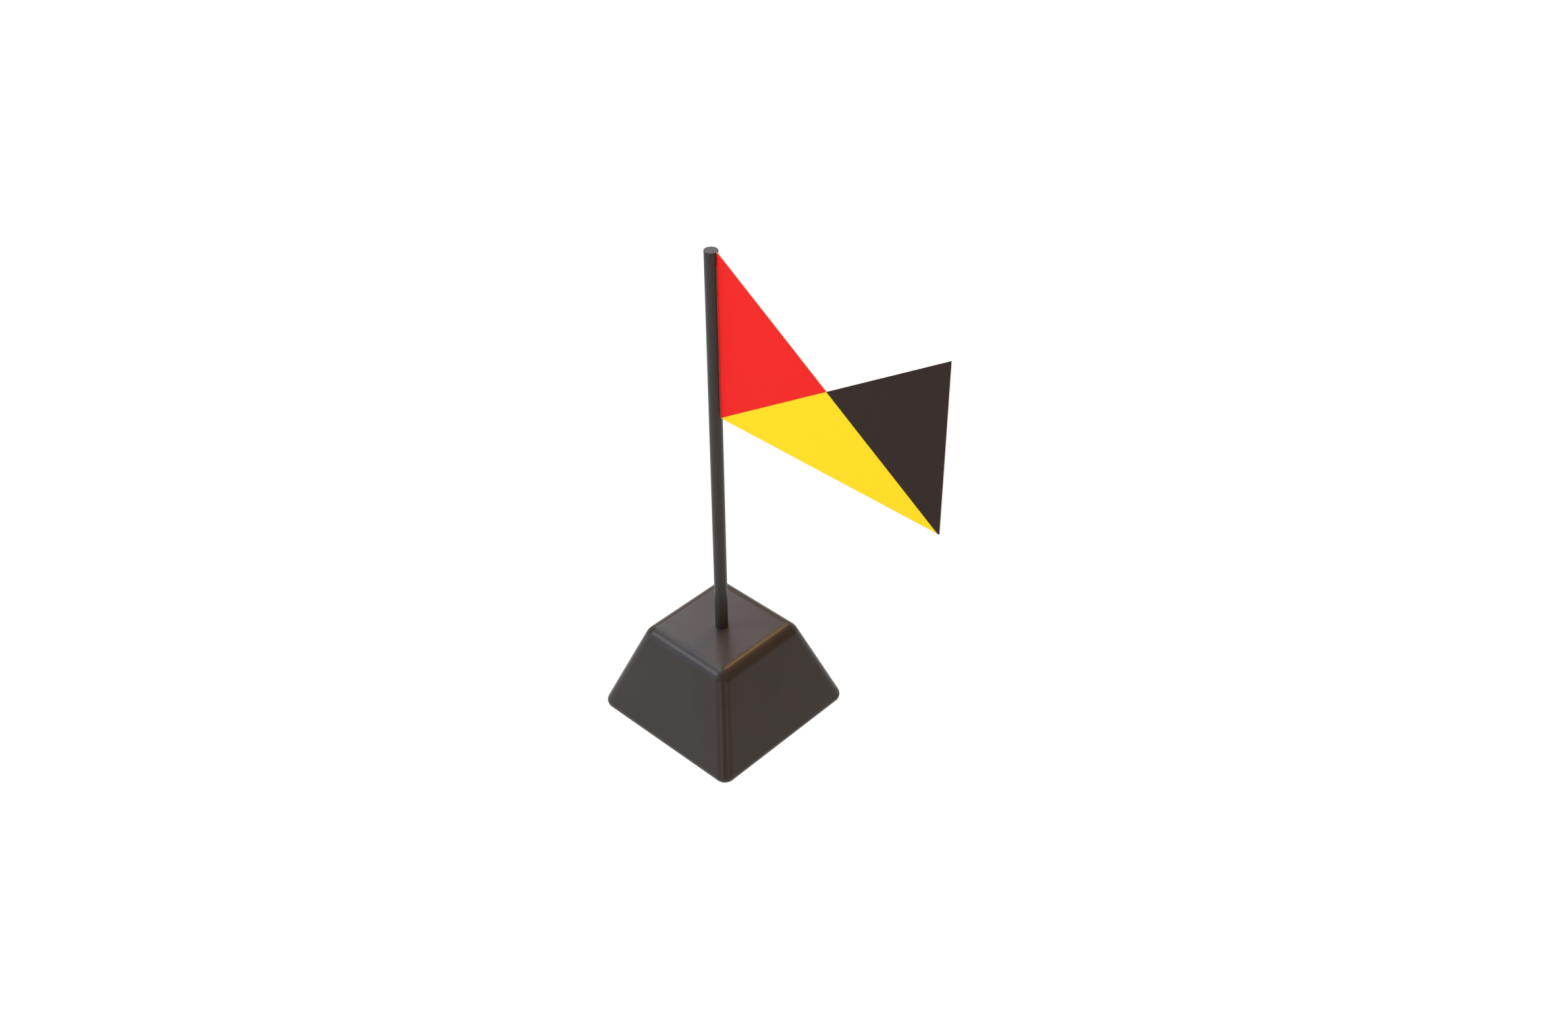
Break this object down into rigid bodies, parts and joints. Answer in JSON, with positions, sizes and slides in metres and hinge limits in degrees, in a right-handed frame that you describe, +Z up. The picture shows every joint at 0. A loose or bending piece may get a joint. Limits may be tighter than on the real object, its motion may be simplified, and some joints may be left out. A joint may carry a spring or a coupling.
{
  "type": "desk flag stand",
  "caption": "Tabletop flag stand: weighted pyramid base, turning lift-out pole, stiff flat flag of coloured triangles with an open notch at its top edge.",
  "frame": {"origin": "on the pole's axis, at the table face of the non-slip pad", "axes": "+Z up along the pole; the flag lies in the XZ plane and flies towards +X"},
  "size_m": [0.2059, 0.1042, 0.312],
  "materials": {
    "base_plastic": "satin moulded ABS, charcoal",
    "pad_rubber": "moulded, fine dimples",
    "screw_steel": "zinc-plated",
    "cast_iron": "as cast, oiled",
    "acetal": "turned, natural",
    "ring_rubber": "moulded",
    "pole_coating": "satin powder coat",
    "plug_plastic": "moulded nylon",
    "cap_plastic": "satin moulded",
    "flag_core_board": "calendered sheet, matt",
    "bead_plastic": "extruded",
    "red_cloth": "polyester satin, bonded flat",
    "yellow_cloth": "polyester satin, bonded flat",
    "black_cloth": "polyester satin, bonded flat"
  },
  "bodies": {
    "base": {"base_shell": "base_plastic", "base_pan": "base_plastic", "non_slip_pad": "pad_rubber", "cover_screws": "screw_steel", "ballast_block": "cast_iron", "ballast_screws": "screw_steel", "ballast_washers": "screw_steel", "thrust_washer": "acetal"},
    "bush": {"swivel_bush": "acetal", "drag_ring": "ring_rubber"},
    "pole": {"pole_tube": "pole_coating", "foot_plug": "plug_plastic"},
    "flag": {"flag_core": "flag_core_board", "flag_bead": "bead_plastic", "red_facing_front": "red_cloth", "red_facing_back": "red_cloth", "yellow_facing_front": "yellow_cloth", "yellow_facing_back": "yellow_cloth", "black_facing_front": "black_cloth", "black_facing_back": "black_cloth"},
    "cap": {"top_cap": "cap_plastic"}
  },
  "joints": [
    {"name": "pole_turn", "type": "hinge", "parent": "base", "child": "bush", "pos_m": [0, 0, 0.03], "axis": [0, 0, 1], "continuous": true},
    {"name": "pole_lift", "type": "slide", "parent": "bush", "child": "pole", "axis": [0, 0, 1], "range_m": [0, 0.06]},
    {"name": "flag_slide", "type": "slide", "parent": "pole", "child": "flag", "axis": [0, 0, 1], "range_m": [0, 0.105]},
    {"name": "cap_pull", "type": "slide", "parent": "flag", "child": "cap", "axis": [0, 0, 1], "range_m": [0, 0.012]}
  ]
}
